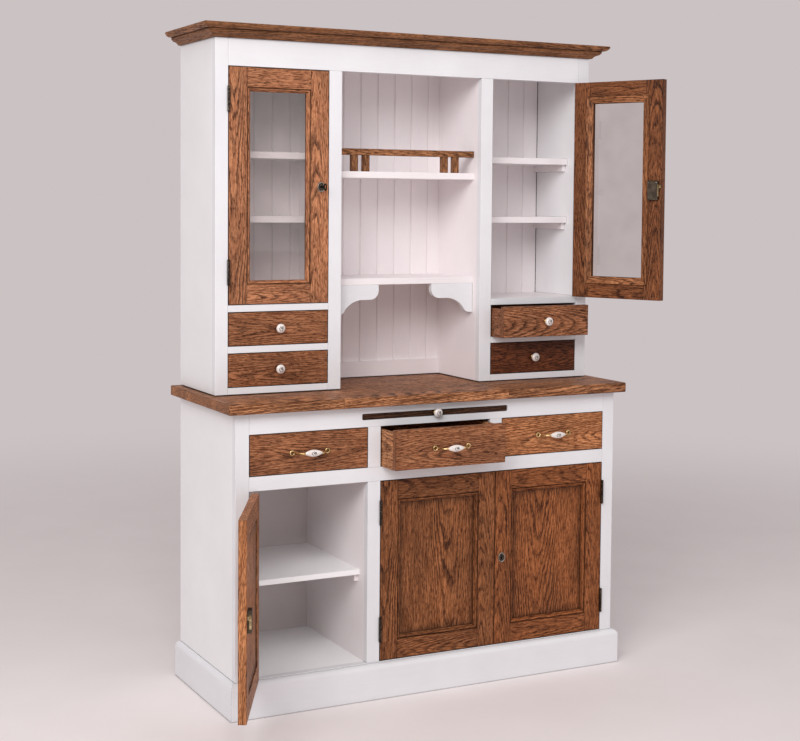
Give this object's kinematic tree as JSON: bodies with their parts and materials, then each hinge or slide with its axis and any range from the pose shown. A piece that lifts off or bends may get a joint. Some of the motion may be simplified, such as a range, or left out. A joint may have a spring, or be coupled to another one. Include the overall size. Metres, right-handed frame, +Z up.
{
  "type": "buffet cabinet",
  "caption": "Buffet cabinet: glazed hutch with open niche, gallery shelf and small drawers over a panelled base with large drawers and a pull-out board.",
  "frame": {"origin": "on the floor under the middle of the base carcass, on the underside of its centre bearer", "axes": "+Z up; -Y out of the front, the side that the doors and drawers open towards; +X to the right seen from the front"},
  "size_m": [1.516, 0.8363, 2],
  "materials": {
    "white_painted_wood": "satin paint",
    "stained_oak": "brown stain under satin varnish",
    "dark_bronze": "dark antique bronze",
    "aged_brass": "antique brass",
    "steel_key": "blackened steel",
    "glazed_porcelain": "white glaze",
    "clear_glass": "polished",
    "dark_pad": "matt"
  },
  "bodies": {
    "carcass": {"plinth": "white_painted_wood", "base_sides": "white_painted_wood", "base_floor_board": "white_painted_wood", "base_dividers": "white_painted_wood", "base_back_panel": "white_painted_wood", "base_face_frame": "white_painted_wood", "base_shelves": "white_painted_wood", "drawer_guides": "white_painted_wood", "worktop": "stained_oak", "hutch_sides": "white_painted_wood", "hutch_partitions": "white_painted_wood", "hutch_decks": "white_painted_wood", "hutch_back_boards": "white_painted_wood", "hutch_face_frame": "white_painted_wood", "hutch_shelves": "white_painted_wood", "shelf_cleats": "white_painted_wood", "niche_brackets": "white_painted_wood", "gallery": "stained_oak", "cornice": "stained_oak", "hutch_pads": "dark_pad", "carcass_hinge_leaves": "dark_bronze"},
    "upper_left_door": {"upper_left_door_frame": "stained_oak", "upper_left_door_mouldings": "stained_oak", "upper_left_door_glass": "clear_glass", "upper_left_door_hinges": "dark_bronze", "upper_left_lock": "aged_brass"},
    "upper_left_bolt": {"upper_left_bolt": "aged_brass"},
    "upper_left_key": {"upper_left_key": "steel_key"},
    "upper_right_door": {"upper_right_door_frame": "stained_oak", "upper_right_door_mouldings": "stained_oak", "upper_right_door_glass": "clear_glass", "upper_right_door_hinges": "dark_bronze", "upper_right_lock": "aged_brass"},
    "lower_left_door": {"lower_left_door_frame": "stained_oak", "lower_left_door_panel": "stained_oak", "lower_left_door_hinges": "dark_bronze", "lower_left_lock": "aged_brass"},
    "lower_middle_door": {"lower_middle_door_frame": "stained_oak", "lower_middle_door_panel": "stained_oak", "lower_middle_door_hinges": "dark_bronze"},
    "lower_right_door": {"lower_right_door_frame": "stained_oak", "lower_right_door_panel": "stained_oak", "lower_right_door_hinges": "dark_bronze", "lower_right_lock": "aged_brass"},
    "large_drawer_left": {"large_drawer_left": "stained_oak", "large_drawer_left_handle": "aged_brass"},
    "large_drawer_middle": {"large_drawer_middle": "stained_oak", "large_drawer_middle_handle": "aged_brass"},
    "large_drawer_right": {"large_drawer_right": "stained_oak", "large_drawer_right_handle": "aged_brass"},
    "small_drawer_left_high": {"small_drawer_left_high": "stained_oak", "small_drawer_left_high_knob": "glazed_porcelain"},
    "small_drawer_left_low": {"small_drawer_left_low": "stained_oak", "small_drawer_left_low_knob": "glazed_porcelain"},
    "small_drawer_right_high": {"small_drawer_right_high": "stained_oak", "small_drawer_right_high_knob": "glazed_porcelain"},
    "small_drawer_right_low": {"small_drawer_right_low": "stained_oak", "small_drawer_right_low_knob": "glazed_porcelain"},
    "slide_board": {"slide_board": "stained_oak", "slide_board_knob": "glazed_porcelain"}
  },
  "joints": [
    {"name": "upper_left_door_hinge", "type": "hinge", "parent": "carcass", "child": "upper_left_door", "pos_m": [-0.609, -0.0738, 1.5295], "axis": [0, 0, -1], "range_deg": [0, 170]},
    {"name": "upper_right_door_hinge", "type": "hinge", "parent": "carcass", "child": "upper_right_door", "pos_m": [0.609, -0.0738, 1.5295], "axis": [0, 0, 1], "range_deg": [-115.5, 54.5]},
    {"name": "lower_left_door_hinge", "type": "hinge", "parent": "carcass", "child": "lower_left_door", "pos_m": [-0.6075, -0.2418, 0.3825], "axis": [0, 0, -1], "range_deg": [-116.8, 53.2]},
    {"name": "lower_middle_door_hinge", "type": "hinge", "parent": "carcass", "child": "lower_middle_door", "pos_m": [-0.188, -0.2418, 0.3825], "axis": [0, 0, -1], "range_deg": [0, 170]},
    {"name": "lower_right_door_hinge", "type": "hinge", "parent": "carcass", "child": "lower_right_door", "pos_m": [0.6075, -0.2418, 0.3825], "axis": [0, 0, 1], "range_deg": [0, 170]},
    {"name": "key_turn", "type": "hinge", "parent": "upper_left_door", "child": "upper_left_key", "pos_m": [-0.31201, -0.0695, 1.5295], "axis": [0, -1, 0], "range_deg": [0, 92]},
    {"name": "bolt_throw", "type": "slide", "parent": "upper_left_door", "child": "upper_left_bolt", "axis": [1, 0, 0], "range_m": [0, 0.01]},
    {"name": "large_drawer_left_slide", "type": "slide", "parent": "carcass", "child": "large_drawer_left", "axis": [0, -1, 0], "range_m": [0, 0.3]},
    {"name": "large_drawer_middle_slide", "type": "slide", "parent": "carcass", "child": "large_drawer_middle", "axis": [0, -1, 0], "range_m": [-0.095, 0.205]},
    {"name": "large_drawer_right_slide", "type": "slide", "parent": "carcass", "child": "large_drawer_right", "axis": [0, -1, 0], "range_m": [0, 0.3]},
    {"name": "small_drawer_left_high_slide", "type": "slide", "parent": "carcass", "child": "small_drawer_left_high", "axis": [0, -1, 0], "range_m": [0, 0.18]},
    {"name": "small_drawer_left_low_slide", "type": "slide", "parent": "carcass", "child": "small_drawer_left_low", "axis": [0, -1, 0], "range_m": [0, 0.18]},
    {"name": "small_drawer_right_high_slide", "type": "slide", "parent": "carcass", "child": "small_drawer_right_high", "axis": [0, -1, 0], "range_m": [-0.078, 0.102]},
    {"name": "small_drawer_right_low_slide", "type": "slide", "parent": "carcass", "child": "small_drawer_right_low", "axis": [0, -1, 0], "range_m": [0, 0.18]},
    {"name": "slide_board_slide", "type": "slide", "parent": "carcass", "child": "slide_board", "axis": [0, -1, 0], "range_m": [0, 0.33]}
  ],
  "couplings": [
    {"joint": "key_turn", "follows": "bolt_throw", "rad_per_m": 157.08}
  ]
}
